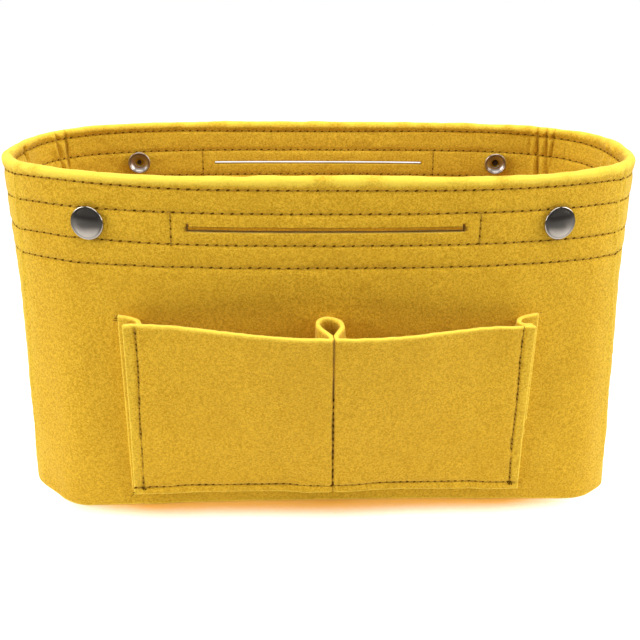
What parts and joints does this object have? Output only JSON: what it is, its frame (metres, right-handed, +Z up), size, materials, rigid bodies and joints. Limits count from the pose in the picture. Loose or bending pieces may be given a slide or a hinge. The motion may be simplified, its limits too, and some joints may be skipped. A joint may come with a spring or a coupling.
{
  "type": "felt makeup organizer",
  "caption": "Oblong open-topped felt organizer with a folded stitched rim, grip slots, a pleated bellows pocket outside, flat pockets inside and snap fasteners.",
  "frame": {"origin": "centre of the base panel's underside", "axes": "+X along the length, to the right as seen from the front; +Y from the pocket's side to the back; +Z up"},
  "size_m": [0.3038, 0.142, 0.1674],
  "materials": {
    "felt": "matte wool felt",
    "nickel": "polished nickel plate",
    "steel": "plain spring steel"
  },
  "bodies": {
    "root": {"front_wall": "felt", "right_wall": "felt", "back_wall": "felt", "left_wall": "felt", "base_panel": "felt", "pocket_panel": "felt", "pocket_left_gusset": "felt", "pocket_right_gusset": "felt", "inside_back_pocket": "felt", "inside_front_pocket": "felt", "front_left_snap_cap": "nickel", "front_left_snap_post": "steel", "front_left_snap_stud": "nickel", "front_right_snap_cap": "nickel", "front_right_snap_post": "steel", "front_right_snap_stud": "nickel", "back_left_snap_cap": "nickel", "back_left_snap_post": "steel", "back_left_snap_socket": "nickel", "back_left_snap_spring": "steel", "back_right_snap_cap": "nickel", "back_right_snap_post": "steel", "back_right_snap_socket": "nickel", "back_right_snap_spring": "steel"}
  },
  "joints": []
}
